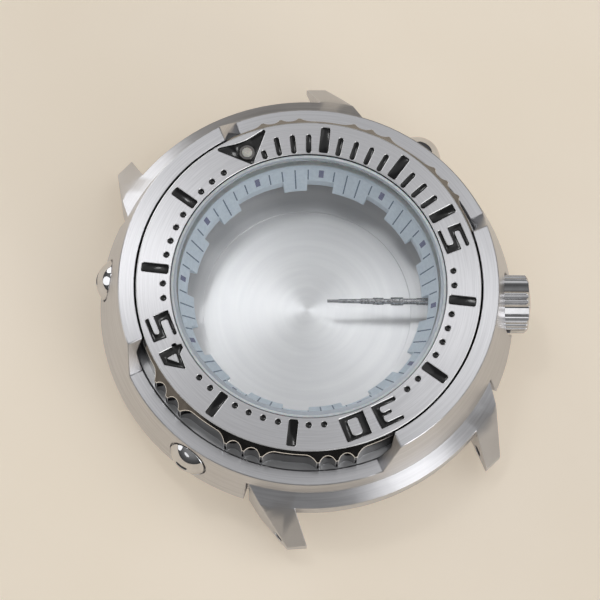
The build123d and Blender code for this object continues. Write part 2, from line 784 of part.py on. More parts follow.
# Shroud: a tall ring with two low parts, windows for the lug blocks and screw recesses
skirt_foot_radius = shroud_rim_radius + shroud_slope * (bezel_top - shroud_skirt_bottom)
shroud_lip_bottom = bezel_top - grip_cone_slope * (shroud_bore - shroud_lip_radius)
cut_radius = max(lug_reach, skirt_foot_radius) + overrun
with BuildPart() as shroud:
    turn([
        (shroud_lip_radius, bezel_top),
        (shroud_rim_radius, bezel_top),
        (skirt_foot_radius, shroud_skirt_bottom),
        (shroud_skirt_bore, shroud_skirt_bottom),
        (shroud_skirt_bore, shelf_height),
        (shroud_bore, shelf_height),
        (shroud_bore, shroud_lip_bottom),
    ])
    for share in low_part_shares:
        first = clock_angle(share) - low_part_half_angle
        turn(
            tube_points(neck_radius, cut_radius, shroud_low_height, bezel_top + overrun),
            angle=first, arc=2 * low_part_half_angle, mode=Mode.SUBTRACT,
        )
        for end, way in ((first, -1), (first + 2 * low_part_half_angle, 1)):
            ramp_plane = Plane(origin=direction(end) * neck_radius, x_dir=beside(end),
                               z_dir=direction(end))
            ramp_run = ramp_width / (bezel_top - shroud_low_height)
            ramp_top = bezel_top + overrun
            with BuildSketch(ramp_plane, mode=Mode.PRIVATE) as ramp:
                with BuildLine():
                    Polyline(
                        (0, shroud_low_height),
                        (way * ramp_run * (ramp_top - shroud_low_height), ramp_top),
                        (-way * overrun, ramp_top),
                        (-way * overrun, shroud_low_height),
                        close=True,
                    )
                make_face()
            extrude(ramp.sketch, amount=cut_radius - neck_radius, mode=Mode.SUBTRACT)
    for share in window_shares:
        ledge_at_cut = ledge_inner_height - ledge_slope * (cut_radius - barrel_radius)
        turn([
            (barrel_radius, case_bottom),
            (cut_radius, case_bottom),
            (cut_radius, ledge_at_cut + window_gap),
            (barrel_radius, ledge_inner_height + window_gap),
        ], angle=clock_angle(share) - window_half_angle, arc=2 * window_half_angle,
            mode=Mode.SUBTRACT)
    turn_on(crown_plane, tube_points(crown_seat, cut_radius, 0, crown_radius + crown_pocket_gap),
            mode=Mode.SUBTRACT)
    for angle in [clock_angle(share) for share in screw_shares.values()]:
        recess = tube_points(-screw_head_sink, overrun, 0, screw_head_radius + screw_recess_gap)
        shank = tube_points(-screw_length, overrun, 0, screw_shank_radius + press_gap)
        turn_on(screw_plane(angle), recess, mode=Mode.SUBTRACT)
        turn_on(screw_plane(angle), shank, mode=Mode.SUBTRACT)

# Domed slotted screws, one for each place
screws = {}
for hour, share in screw_shares.items():
    angle = clock_angle(share)
    with BuildPart() as screw:
        with BuildSketch(screw_plane(angle)):
            with BuildLine():
                Line((-screw_length, 0), (-screw_length, screw_shank_radius))
                Line((-screw_length, screw_shank_radius), (-screw_head_sink, screw_shank_radius))
                Line((-screw_head_sink, screw_shank_radius), (-screw_head_sink, screw_head_radius))
                Line((-screw_head_sink, screw_head_radius), (0, screw_head_radius))
                TangentArc((screw_head_dome, 0), (0, screw_head_radius), tangent=(0, 1))
                Line((screw_head_dome, 0), (-screw_length, 0))
            make_face()
        revolve(axis=Axis(screw_plane(angle).origin, screw_plane(angle).x_dir))
        slot_plane = Plane(origin=screw_plane(angle).origin, x_dir=beside(angle),
                           z_dir=screw_plane(angle).x_dir)
        with BuildSketch(slot_plane.offset(screw_head_dome - screw_slot_depth)):
            SlotOverall(screw_slot_length, screw_slot_width)
        extrude(amount=screw_slot_depth, mode=Mode.SUBTRACT)
    screws[hour] = screw

# Crown tube, screwed into the case
crown_end = crown_base + crown_length
cavity_end = crown_base + crown_cavity_depth
tube_end = cavity_end - crown_seal_thickness - washer_thickness - snug_gap
tube_seal_groove = 2 * (tube_seal_section + press_gap)
with BuildPart() as crown_tube:
    turn_on(crown_plane, tube_points(movement_bore + tube_start_offset, tube_end,
                                     tube_bore, tube_radius))
    thread_turns = int((tube_end - crown_base) / tube_thread_pitch)
    for step in range(thread_turns):
        groove = crown_base + (step + 0.5) * tube_thread_pitch
        turn_on(crown_plane, [
            (groove - tube_thread_pitch / 3, tube_radius + running_gap),
            (groove, tube_radius - tube_thread_depth),
            (groove + tube_thread_pitch / 3, tube_radius + running_gap),
        ], mode=Mode.SUBTRACT)
    groove_start = tube_end - tube_seal_from_end - tube_seal_groove
    turn_on(
        crown_plane,
        tube_points(groove_start, groove_start + tube_seal_groove, tube_bore - running_gap,
                    tube_bore + tube_seal_groove - snug_gap),
        mode=Mode.SUBTRACT,
    )

# The crown's hollow shell with its inner sleeve, then the small pieces that it holds
sleeve_radius = tube_bore - snug_gap
sleeve_start = cavity_end - sleeve_length
sleeve_bottom = cavity_end + sleeve_extra_depth
cavity_radius = tube_radius + snug_gap
crown_face = Plane(origin=crown_plane.origin + crown_plane.x_dir * crown_base,
                   x_dir=crown_plane.y_dir, z_dir=crown_plane.x_dir)
with BuildPart() as crown:
    with BuildSketch(crown_face):
        with BuildLine():
            add(grip_outline(crown_radius, crown_groups, crown_ridge_pitch_angle,
                             crown_ridge_tip_angle, crown_flute_depth, crown_scallop_depth,
                             crown_scallop_floor_angle))
        make_face()
    extrude(amount=crown_length)
    turn_on(crown_plane, [
        (crown_base, 0),
        (crown_base, crown_radius - 2 * crown_edge),
        (crown_base + crown_edge, crown_radius),
        (crown_end - crown_edge, crown_radius),
        (crown_end, crown_radius - crown_edge),
        (crown_end, 0),
    ], mode=Mode.INTERSECT)
    with BuildSketch(crown_plane, mode=Mode.PRIVATE) as dome:
        with BuildLine():
            Line((crown_end - crown_edge, 0), (crown_end - crown_edge, crown_dome_radius))
            Line((crown_end - crown_edge, crown_dome_radius), (crown_end, crown_dome_radius))
            TangentArc((crown_end + crown_dome, 0), (crown_end, crown_dome_radius), tangent=(0, 1))
            Line((crown_end + crown_dome, 0), (crown_end - crown_edge, 0))
        make_face()
    revolve(dome.sketch, axis=Axis(crown_plane.origin, crown_plane.x_dir))
    turn_on(crown_plane, tube_points(crown_base - overrun, cavity_end, 0, cavity_radius),
            mode=Mode.SUBTRACT)
    turn_on(crown_plane, tube_points(sleeve_start, cavity_end, 0, sleeve_radius))
    turn_on(crown_plane, tube_points(sleeve_start - overrun, sleeve_bottom, 0, sleeve_bore),
            mode=Mode.SUBTRACT)

with BuildPart() as crown_gasket:
    turn_on(crown_plane, tube_points(cavity_end - crown_seal_thickness, cavity_end,
                                     sleeve_radius, cavity_radius))

with BuildPart() as crown_washer:
    washer_end = cavity_end - crown_seal_thickness
    turn_on(crown_plane, tube_points(washer_end - washer_thickness, washer_end,
                                     sleeve_radius, cavity_radius))

tube_seal_centre = groove_start + tube_seal_groove / 2
with BuildPart() as crown_tube_gasket:
    with BuildSketch(crown_plane):
        with Locations((tube_seal_centre, sleeve_radius + press_gap + tube_seal_section)):
            Circle(tube_seal_section)
    revolve(axis=Axis(crown_plane.origin, crown_plane.x_dir))

# Stem holder that slides in the sleeve, pushed by the coil spring
plunger_radius = sleeve_bore - snug_gap
plunger_start = crown_base - plunger_reach
plunger_end = plunger_start + plunger_length
stem_hole = stem_thread_radius + press_gap
with BuildPart() as crown_plunger:
    turn_on(crown_plane, tube_points(plunger_start, plunger_end, 0, plunger_radius))
    turn_on(crown_plane, tube_points(plunger_start - overrun, plunger_start + plunger_thread_depth,
                                     0, stem_hole), mode=Mode.SUBTRACT)

spring_start = plunger_end + snug_gap + spring_wire
spring_end = sleeve_bottom - snug_gap - spring_wire
spring_coil_radius = sleeve_bore - snug_gap - spring_wire
with BuildPart() as crown_spring:
    coil_plane = Plane(origin=crown_plane.origin + crown_plane.x_dir * spring_start,
                       x_dir=crown_plane.y_dir, z_dir=crown_plane.x_dir)
    coil = Helix(
        pitch=(spring_end - spring_start) / spring_turns,
        height=spring_end - spring_start,
        radius=spring_coil_radius,
        mode=Mode.PRIVATE,
    )
    coil = coil_plane.location * coil
    with BuildSketch(Plane(origin=coil @ 0, z_dir=coil % 0)):
        Circle(spring_wire)
    sweep(path=coil, is_frenet=True)

# The stem is screwed into its holder
stem_end = plunger_start + plunger_thread_depth - running_gap
with BuildPart() as winding_stem:
    outline = [(stem_tip, 0)]
    stop_shares = [share for share, radius_share in stem_step_shares[1:]] + [1]
    for (start_share, radius_share), stop_share in zip(stem_step_shares, stop_shares):
        radius = radius_share * stem_thread_radius
        outline.append((stem_tip + start_share * (stem_end - stem_tip), radius))
        outline.append((stem_tip + stop_share * (stem_end - stem_tip), radius))
    outline.append((stem_end, 0))
    turn_on(crown_plane, outline)

# Export
os.makedirs("parts", exist_ok=True)
pieces = {
    "mid_case": mid_case,
    "case_back": case_back,
    "case_back_gasket": case_back_gasket,
    "crystal": crystal,
    "crystal_gasket": crystal_gasket,
    "crystal_press_ring": crystal_press_ring,
    "chapter_ring": chapter_ring,
    "bezel": bezel,
    "bezel_inlays": bezel_inlays,
    "bezel_pip_cup": bezel_pip_cup,
    "bezel_pip_pearl": bezel_pip_pearl,
    "bezel_gasket": bezel_gasket,
    "bezel_click_spring": bezel_click_spring,
    "shroud": shroud,
    "crown_tube": crown_tube,
    "crown_tube_gasket": crown_tube_gasket,
    "crown": crown,
    "crown_gasket": crown_gasket,
    "crown_washer": crown_washer,
    "crown_spring": crown_spring,
    "crown_plunger": crown_plunger,
    "winding_stem": winding_stem,
}
for hour, screw in screws.items():
    pieces["shroud_screw_" + hour] = screw
for name, piece in pieces.items():
    piece.part.label = name
    export_step(piece.part, f"parts/{name}.step")
    print(name, len(piece.part.solids()), round(piece.part.volume, 3))
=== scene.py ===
import bmesh
import bpy
import json
from math import cos, pi, radians, sin
from mathutils import Matrix, Quaternion, Vector


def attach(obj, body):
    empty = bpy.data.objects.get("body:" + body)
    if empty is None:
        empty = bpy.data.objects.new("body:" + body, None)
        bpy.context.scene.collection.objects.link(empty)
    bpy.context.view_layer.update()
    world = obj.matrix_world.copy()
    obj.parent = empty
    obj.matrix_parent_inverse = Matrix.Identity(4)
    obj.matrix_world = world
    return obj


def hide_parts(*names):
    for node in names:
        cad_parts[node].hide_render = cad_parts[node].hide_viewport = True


# An empty steel diver's watch case. +Z is up through the crystal, +Y points to 12 o'clock.
# The pieces' settings are in millimetres and degrees, the floor's and lamps' sizes in metres

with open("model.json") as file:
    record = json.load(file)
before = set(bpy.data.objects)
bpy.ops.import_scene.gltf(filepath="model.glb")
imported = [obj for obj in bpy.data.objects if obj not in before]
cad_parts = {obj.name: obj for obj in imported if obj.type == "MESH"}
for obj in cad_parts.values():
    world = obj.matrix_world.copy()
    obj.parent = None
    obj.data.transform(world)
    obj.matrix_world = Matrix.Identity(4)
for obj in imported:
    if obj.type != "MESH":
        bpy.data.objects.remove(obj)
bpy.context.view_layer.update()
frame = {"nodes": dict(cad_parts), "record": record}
scene = bpy.context.scene
mm = 0.001
record = frame["record"]
bodyOf = {node: body for body, nodes in record["behaviour"]["bodies"].items() for node in nodes}
print("frame loaded:", len(frame["nodes"]), "nodes")

# Camera, fitted to 33 marks of the bezel
camera = {
    "place": (-48.262, -91.315, 330.264), "target": (-1.482, -1.163, 12.8), "roll": 3.6314,
    "lens": 199.4, "sensor": 36, "nearest": 10,
}
cameraData = bpy.data.cameras.new("camera")
cameraData.lens = camera["lens"]
cameraData.sensor_width = camera["sensor"]
cameraData.clip_start = camera["nearest"] * mm
cameraObject = bpy.data.objects.new("camera", cameraData)
scene.collection.objects.link(cameraObject)
cameraPlace = Vector(camera["place"]) * mm
gaze = Vector(camera["target"]) * mm - cameraPlace
turned = gaze.to_track_quat("-Z", "Y") @ Quaternion((0, 0, 1), radians(camera["roll"]))
cameraObject.matrix_world = Matrix.Translation(cameraPlace) @ turned.to_matrix().to_4x4()
scene.camera = cameraObject
scene.view_settings.view_transform = "Standard"


def toLinear(hexColour):
    channels = [int(hexColour[i:i + 2], 16) / 255 for i in (1, 3, 5)]
    return tuple(c / 12.92 if c <= 0.04045 else ((c + 0.055) / 1.055) ** 2.4 for c in channels) + (1.0,)


def addNode(tree, kind, values=None, links=None, **settings):
    node = tree.nodes.new(kind)
    for name, value in settings.items():
        setattr(node, name, value)
    for socket, value in (values or {}).items():
        node.inputs[socket].default_value = value
    for socket, source in (links or {}).items():
        tree.links.new(source, node.inputs[socket])
    return node


def startMaterial(name, values):
    # A new material, with these values set on its shader's own sockets
    material = bpy.data.materials.new(name)
    material.use_nodes = True
    tree = material.node_tree
    shader = tree.nodes["Principled BSDF"]
    for socket, value in values.items():
        shader.inputs[socket].default_value = value
    return material, tree, shader


# Noise rarely leaves the middle of its range, so that middle is spread over the whole drift
grain = {
    "spread": {"From Min": 0.35, "From Max": 0.65},
    "lineSlope": 0.73, "lineBump": 0.6, "skinBump": 0.5,
}


def driftFinish(tree, shader, tones, roughness, toneGrain, roughGrain):
    # Colour and roughness each drift between their two values, as their grain says
    tone = addNode(tree, "ShaderNodeMapRange", grain["spread"], {"Value": toneGrain})
    colour = addNode(tree, "ShaderNodeMix", {"A": toLinear(tones[0]), "B": toLinear(tones[1])},
                     {"Factor": tone.outputs["Result"]}, data_type="RGBA")
    rough = addNode(tree, "ShaderNodeMapRange",
                    {**grain["spread"], "To Min": roughness[0], "To Max": roughness[1]},
                    {"Value": roughGrain})
    tree.links.new(colour.outputs["Result"], shader.inputs["Base Color"])
    tree.links.new(rough.outputs["Result"], shader.inputs["Roughness"])


# Steel whose fine lines run round the watch's axis, as a lathe or a brushing wheel leaves them.
# Each entry of lines is their spacing in mm and how often they break up along the way round
def roundBrushedSteel(name, tones, roughness, lines, depth, anisotropy):
    material, tree, shader = startMaterial(name, {"Metallic": 1, "Anisotropic": anisotropy})
    place = addNode(tree, "ShaderNodeTexCoord").outputs["Object"]
    parts = addNode(tree, "ShaderNodeSeparateXYZ", links={"Vector": place}).outputs
    flat = addNode(tree, "ShaderNodeCombineXYZ", links={"X": parts["X"], "Y": parts["Y"]}).outputs[0]
    radius = addNode(tree, "ShaderNodeVectorMath", links={0: flat}, operation="LENGTH").outputs["Value"]
    ringWay = addNode(tree, "ShaderNodeVectorMath", links={0: flat}, operation="NORMALIZE").outputs[0]
    # Lines part both outwards on flat faces and upwards on walls
    slope = addNode(tree, "ShaderNodeMath", {1: grain["lineSlope"]}, {0: parts["Z"], 2: radius},
                    operation="MULTIPLY_ADD").outputs[0]
    grains = []
    for spacing, breaks in lines:
        across = addNode(tree, "ShaderNodeMath", {1: 1 / (spacing * mm)}, {0: slope},
                         operation="MULTIPLY").outputs[0]
        along = addNode(tree, "ShaderNodeVectorMath", {"Scale": breaks}, {0: ringWay},
                        operation="SCALE").outputs[0]
        lift = addNode(tree, "ShaderNodeCombineXYZ", links={"Z": across}).outputs[0]
        spot = addNode(tree, "ShaderNodeVectorMath", links={0: along, 1: lift},
                       operation="ADD").outputs[0]
        grains.append(addNode(tree, "ShaderNodeTexNoise", {"Scale": 1, "Detail": 2},
                              {"Vector": spot}).outputs[0])
    driftFinish(tree, shader, tones, roughness, grains[1], grains[1])
    bump = addNode(tree, "ShaderNodeBump", {"Strength": grain["lineBump"], "Distance": depth * mm},
                   {"Height": grains[0]})
    # The highlight is drawn out across the lines
    turnWay = addNode(tree, "ShaderNodeVectorMath", {0: (0, 0, 1)}, {1: flat}, operation="CROSS_PRODUCT")
    worldWay = addNode(tree, "ShaderNodeVectorTransform", links={"Vector": turnWay.outputs[0]},
                       vector_type="VECTOR", convert_from="OBJECT", convert_to="WORLD")
    normal = addNode(tree, "ShaderNodeNewGeometry").outputs["Normal"]
    crossWay = addNode(tree, "ShaderNodeVectorMath", links={0: worldWay.outputs[0], 1: normal},
                       operation="CROSS_PRODUCT")
    tree.links.new(bump.outputs[0], shader.inputs["Normal"])
    tree.links.new(crossWay.outputs[0], shader.inputs["Tangent"])
    return material


# Stainless steel 316L, brushed on a belt while it turns: lines of 0.06 mm in relief, and lines twice
# as coarse in tone so that they show; satin, with a long soft highlight
brushedSteel = roundBrushedSteel("brushedStainlessSteel", ("#C7C7CA", "#D3D3D6"), (0.28, 0.34),
                                 ((0.06, 5), (0.12, 3.5)), 0.003, 0.7)
# The same steel as turned on a lathe inside the case: broader, fainter rings and a softer shine
turnedSteel = roundBrushedSteel("turnedStainlessSteel", ("#D1D2D5", "#DBDCDE"), (0.36, 0.43),
                                ((0.1, 0.8), (0.9, 0.5)), 0.002, 0.45)


# A finish whose tone and roughness drift a little over the surface, with an optional fine bump.
# Grain and depth are in mm
def mottledMaterial(name, values, tones, roughness, toneGrain, depth=0.0, roughGrain=None):
    material, tree, shader = startMaterial(name, values)
    place = addNode(tree, "ShaderNodeTexCoord").outputs["Object"]
    mottle = addNode(tree, "ShaderNodeTexNoise", {"Scale": 1 / (toneGrain * mm), "Detail": 3},
                     {"Vector": place}).outputs[0]
    smudge = addNode(tree, "ShaderNodeTexNoise",
                     {"Scale": 1 / ((roughGrain or toneGrain) * mm), "Detail": 3},
                     {"Vector": place}).outputs[0]
    driftFinish(tree, shader, tones, roughness, mottle, smudge)
    if depth:
        bump = addNode(tree, "ShaderNodeBump", {"Strength": grain["skinBump"], "Distance": depth * mm},
                       {"Height": mottle})
        tree.links.new(bump.outputs[0], shader.inputs["Normal"])
    return material


# Mirror-polished stainless steel, buffed by hand: clear reflections with faint wiping marks
polishedSteel = mottledMaterial("polishedStainlessSteel", {"Metallic": 1}, ("#C6C6C8", "#D4D4D6"),
                                (0.03, 0.09), 1.5, roughGrain=0.8)
# The same polished steel on the bezel's grip and the pip's cup, its colour darkened as painted shade: a
# darker mirror
gripSteelPaintedShade = mottledMaterial("polishedGripSteelPaintedShade", {"Metallic": 1}, ("#62605F", "#757372"),
                            (0.03, 0.08), 1.5, roughGrain=0.8)
# The rims of the bezel's sunk marks, rounded over by the buffing wheel, painted near white as a highlight
# lighter than its face
rimSteelPaintedHighlight = mottledMaterial("buffedRimSteelPaintedHighlight", {"Metallic": 1}, ("#F0F0F1", "#F8F8F8"), (0.3, 0.4), 1.5)
# Hardened carbon steel of the stem and the springs: greyer, ground
springSteel = mottledMaterial("groundSpringSteel", {"Metallic": 1}, ("#939598", "#CDCFD2"),
                              (0.08, 0.24), 0.25)
# Black lacquer run into the sunk marks and baked: deep gloss, with a soft skin
blackLacquer = mottledMaterial("blackBakedLacquer",
                               {"Coat Weight": 0.12, "Coat Roughness": 0.05, "IOR": 1.42},
                               ("#030304", "#08080A"), (0.12, 0.22), 0.3, 0.003)
# Luminous pearl in clear resin: pale cream with a fine crystal grain
pearlResin = mottledMaterial("luminousPearlResin",
                             {"Coat Weight": 0.7, "Coat Roughness": 0.05,
                              "Subsurface Weight": 0.15, "Subsurface Scale": 0.0003},
                             ("#C3BFB8", "#D4D0C9"), (0.3, 0.45), 0.12)
# Nitrile rubber seals: matte black with a faint moulded skin
blackRubber = mottledMaterial("mouldedNitrileRubber", {"IOR": 1.52}, ("#101011", "#1C1C1D"),
                              (0.6, 0.8), 0.2, 0.003)
# Cast nylon crystal seal: milky and waxy, slightly uneven where it is pressed in
paleNylon = mottledMaterial("pressedNylonSeal",
                            {"IOR": 1.53, "Subsurface Weight": 0.2, "Subsurface Scale": 0.0005},
                            ("#DADFE2", "#E8ECEE"), (0.35, 0.5), 0.5, 0.01)
# Chapter ring: moulded plastic with a pale blue sprayed coat, eggshell
paleBluePaint = mottledMaterial("sprayedPaleBlueCoat", {"IOR": 1.5}, ("#CBD8E4", "#D5E1EC"),
                                (0.38, 0.5), 0.35, 0.002)
# Pad-printed inks on the chapter ring: thin, flat and matte, slate for minutes and violet for hours
slateInk = mottledMaterial("padPrintedSlateInk", {"IOR": 1.5}, ("#455D78", "#506A85"), (0.4, 0.5), 0.2)
violetInk = mottledMaterial("padPrintedVioletInk", {"IOR": 1.5}, ("#585D84", "#646990"), (0.4, 0.5), 0.2)
print("opaque materials made")


# Mineral glass crystal, clear on its polished faces and frosted on its ground bevel and side. Light
# rays to the lamps pass straight through it, so that the case is lit inside
def mineralGlass(name, colour, transmission, roughness):
    material, tree, shader = startMaterial(name, {
        "Base Color": toLinear(colour), "IOR": 1.52,
        "Transmission Weight": transmission, "Roughness": roughness,
    })
    clear = addNode(tree, "ShaderNodeBsdfTransparent", {"Color": toLinear("#FAFCFC")})
    rays = addNode(tree, "ShaderNodeLightPath")
    mix = addNode(tree, "ShaderNodeMixShader", links={0: rays.outputs["Is Shadow Ray"],
                  1: shader.outputs[0], 2: clear.outputs[0]})
    tree.links.new(mix.outputs[0], tree.nodes["Material Output"].inputs["Surface"])
    return material


polishedGlass = mineralGlass("polishedMineralGlass", "#FFFFFF", 1, 0)
groundGlass = mineralGlass("groundMineralGlass", "#CDD5DF", 0.35, 0.5)

# How the copies of the CAD meshes are merged, shaded and eased
meshCare = {"merge": 0.012, "flatAngle": 0.6, "sharpAngle": 30, "bevelSteps": 2}


def cleanCopy(node):
    # The CAD mesh is loose triangles: merge them, and melt each flat face into one
    bm = bmesh.new()
    bm.from_mesh(frame["nodes"][node].data)
    bmesh.ops.remove_doubles(bm, verts=bm.verts, dist=meshCare["merge"] * mm)
    bmesh.ops.dissolve_limit(bm, angle_limit=radians(meshCare["flatAngle"]),
                             verts=bm.verts, edges=bm.edges)
    return bm


def makePiece(bm, name, materials, body, paint=None, sharpAngle=meshCare["sharpAngle"]):
    # Edges steeper than the sharp angle stay crisp, and all the others shade smoothly
    for edge in bm.edges:
        edge.smooth = edge.calc_face_angle(pi) < radians(sharpAngle)
    for face in bm.faces:
        face.smooth = True
        face.material_index = paint(face.calc_center_median() / mm, face.normal) if paint else 0
    mesh = bpy.data.meshes.new(name)
    bm.to_mesh(mesh)
    bm.free()
    # The copy still holds the CAD mesh's own normals, which no longer fit it
    if "custom_normal" in mesh.attributes:
        mesh.attributes.remove(mesh.attributes["custom_normal"])
    for material in materials:
        mesh.materials.append(material)
    piece = bpy.data.objects.new(name, mesh)
    scene.collection.objects.link(piece)
    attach(piece, body)
    return piece


def easeEdges(piece, width, rimMaterial):
    bevel = piece.modifiers.new("easedEdges", "BEVEL")
    bevel.width = width * mm
    bevel.segments = meshCare["bevelSteps"]
    bevel.limit_method = "ANGLE"
    bevel.angle_limit = radians(meshCare["sharpAngle"])
    bevel.use_clamp_overlap = False
    bevel.material = rimMaterial
    # The wide faces then keep their own flat or round shading up to the eased edge
    weighting = piece.modifiers.new("faceWeighting", "WEIGHTED_NORMAL")
    weighting.weight = 100
    weighting.keep_sharp = True


def dressNode(node, name, materials, edge=0, paint=None, rimMaterial=-1, reshape=None,
              sharpAngle=meshCare["sharpAngle"]):
    # A clean copy of a CAD node, reshaped where asked and with eased edges, stands for the node
    bm = cleanCopy(node)
    if reshape:
        reshape(bm)
    piece = makePiece(bm, name, materials, bodyOf[node], paint, sharpAngle)
    if edge:
        easeEdges(piece, edge, rimMaterial)
    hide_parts(node)
    return piece


# Bezel: brushed on its face, polished on its grip with painted shade, and with painted highlights on the
# rims round the sunk marks
bezel = {"faceHeight": 12.79, "faceTilt": 0.9, "edge": 0.06}


def paintBezel(centre, normal):
    return 0 if centre.z > bezel["faceHeight"] and normal.z > bezel["faceTilt"] else 1


dressNode("bezel", "bezelRing", [brushedSteel, gripSteelPaintedShade, rimSteelPaintedHighlight], bezel["edge"], paintBezel,
          rimMaterial=2)
print("bezel dressed")

# Black fill, hollowed where the lacquer sank while it dried
fill = {"top": 12.63, "topBand": 0.02, "topTilt": 0.99, "rim": 0.06, "sink": 0.03, "sharpAngle": 60}


def hollowFill(bm):
    tops = [face for face in bm.faces if face.normal.z > fill["topTilt"]
            and face.calc_center_median().z > (fill["top"] - fill["topBand"]) * mm]
    bmesh.ops.inset_region(bm, faces=tops, thickness=fill["rim"] * mm, depth=-fill["sink"] * mm,
                           use_even_offset=True, use_boundary=True)


dressNode("bezel_inlays", "bezelFill", [blackLacquer], reshape=hollowFill, sharpAngle=fill["sharpAngle"])

# Pip: the cup's lip is rolled in over the rim of the pearl
pip = {
    "centre": (0, 15.4), "top": 12.8, "topBand": 0.01, "bore": 0.64, "boreBand": 0.02,
    "lip": 0.52, "edge": 0.04,
}
pipCentre = Vector((*pip["centre"], 0)) * mm
rolled = pip["lip"] / pip["bore"]


def drawIn(bm, verts):
    bmesh.ops.scale(bm, verts=verts, vec=(rolled, rolled, 1), space=Matrix.Translation(-pipCentre))


def rollLip(bm):
    drawIn(bm, [vert for vert in bm.verts if vert.co.z > (pip["top"] - pip["topBand"]) * mm
                and (vert.co - pipCentre).xy.length < (pip["bore"] + pip["boreBand"]) * mm])


# The pip's cup takes the grip's steel, darkened by painted shade
dressNode("bezel_pip_cup", "pipCup", [gripSteelPaintedShade], pip["edge"], reshape=rollLip)
dressNode("bezel_pip_pearl", "pipPearl", [pearlResin], reshape=lambda bm: drawIn(bm, bm.verts))
print("marks and pip dressed")

# Shroud, brushed all round, its edges broken on the same wheel
shroud = {"edge": 0.09}
dressNode("shroud", "shroudRing", [brushedSteel], shroud["edge"])

# Its screws: the domes stand a third higher than in the solids, so that they mirror the lamps
screw = {
    "hours": (2, 8, 10), "wallRadius": 20.64, "height": 7.0, "draft": 14.14,
    "foot": 0.01, "dome": 1.35, "edge": 0.03,
}
for hour in screw["hours"]:
    turn, draft = radians(90 - hour * 30), radians(screw["draft"])
    radius = screw["wallRadius"]
    seat = Vector((cos(turn) * radius, sin(turn) * radius, screw["height"])) * mm
    outward = Vector((cos(turn) * cos(draft), sin(turn) * cos(draft), sin(draft)))
    space = outward.to_track_quat("Z", "Y").to_matrix().to_4x4().inverted() @ Matrix.Translation(-seat)

    def raiseDome(bm):
        dome = [vert for vert in bm.verts if (vert.co - seat).dot(outward) > screw["foot"] * mm]
        bmesh.ops.scale(bm, verts=dome, vec=(1, 1, screw["dome"]), space=space)

    dressNode(f"shroud_screw_{hour}h", f"shroudScrew{hour}H", [polishedSteel], screw["edge"],
              reshape=raiseDome)
print("shroud dressed")

# Mid-case: brushed outside, turned inside
midCase = {"edge": 0.06, "boreRadius": 14.0}
dressNode("mid_case", "midCase", [brushedSteel, turnedSteel], midCase["edge"],
          lambda centre, normal: 1 if centre.xy.length < midCase["boreRadius"] else 0)

# Case back: turned inside, brushed outside
caseBack = {"edge": 0.02, "innerHeight": 3.3}
dressNode("case_back", "caseBack", [brushedSteel, turnedSteel], caseBack["edge"],
          lambda centre, normal: 1 if centre.z > caseBack["innerHeight"] else 0)
print("mid-case and case back dressed")

# Crystal, its seal and its press ring
crystal = {"faceTilt": 0.9}
dressNode("crystal", "crystalGlass", [polishedGlass, groundGlass],
          paint=lambda centre, normal: 0 if abs(normal.z) > crystal["faceTilt"] else 1)
dressNode("crystal_gasket", "crystalSeal", [paleNylon])
dressNode("crystal_press_ring", "crystalPressRing", [turnedSteel])

# Crown, turned about its stem to the angle at which the real one came to rest
crown = {"bearing": -24, "height": 6.6, "turn": -23.3, "edge": 0.03}
crownAxis = Vector((cos(radians(crown["bearing"])), sin(radians(crown["bearing"])), 0))


def turnCrown(bm):
    bmesh.ops.rotate(bm, verts=bm.verts, cent=Vector((0, 0, crown["height"])) * mm,
                     matrix=Matrix.Rotation(radians(crown["turn"]), 3, crownAxis))


crownPiece = dressNode("crown", "crownShell", [polishedSteel], crown["edge"], reshape=turnCrown)

# Its tube and the stem
stem = {"edge": 0.02}
dressNode("crown_tube", "crownTube", [polishedSteel])
dressNode("winding_stem", "windingStem", [springSteel], stem["edge"])
print("crown and stem dressed")

# Chapter ring and its print. Marks run between two shares of the way from its rim to its tip, each
# a radius and a height, and the lines over the notches, whose half widths are in degrees, are short
chapterRing = {"edge": 0.04}
dressNode("chapter_ring", "chapterRing", [paleBluePaint], chapterRing["edge"])
chapterPrint = {
    "rim": (13.06, 10.1), "tip": (11.57, 7.75), "clearance": 0.012, "thickness": 0.012,
    "lineWidth": 0.13, "longLine": (0.04, 0.92), "shortLine": (0.04, 0.5),
    "hourWidth": 0.5, "hourMark": (0.05, 0.38),
    "notch": 6.4, "wideNotches": {0: 12.0, 6: 7.5, 9: 8.0}, "notchMargin": 0.1,
}


def printMark(bm, clockAngle, width, shares):
    # A thin plate lies on the cone
    rim, tip = (Vector((r, 0, z)) * mm for r, z in (chapterPrint["rim"], chapterPrint["tip"]))
    start, end = rim.lerp(tip, shares[0]), rim.lerp(tip, shares[1])
    along = (end - start).normalized()
    side = Vector((0, 1, 0))
    up = side.cross(along)
    centre = (start + end) / 2 + up * chapterPrint["clearance"] * mm
    axes = Matrix((side, along, up)).transposed().to_4x4()
    size = Matrix.Diagonal((width * mm, (end - start).length, chapterPrint["thickness"] * mm, 1))
    turn = Matrix.Rotation(radians(90 - clockAngle), 4, "Z")
    bmesh.ops.create_cube(bm, size=1, matrix=turn @ Matrix.Translation(centre) @ axes @ size)


lineMesh, hourMesh = bmesh.new(), bmesh.new()
for minute in range(60):
    hour = round(minute / 5)
    fromHour = abs(minute * 6 - hour * 30)
    notch = chapterPrint["wideNotches"].get(hour % 12, chapterPrint["notch"])
    if fromHour == 0:
        printMark(hourMesh, minute * 6, chapterPrint["hourWidth"], chapterPrint["hourMark"])
    elif fromHour < notch + chapterPrint["notchMargin"]:
        printMark(lineMesh, minute * 6, chapterPrint["lineWidth"], chapterPrint["shortLine"])
    else:
        printMark(lineMesh, minute * 6, chapterPrint["lineWidth"], chapterPrint["longLine"])
makePiece(lineMesh, "minuteLines", [slateInk], "case")
makePiece(hourMesh, "hourMarks", [violetInk], "case")
print("chapter ring printed")

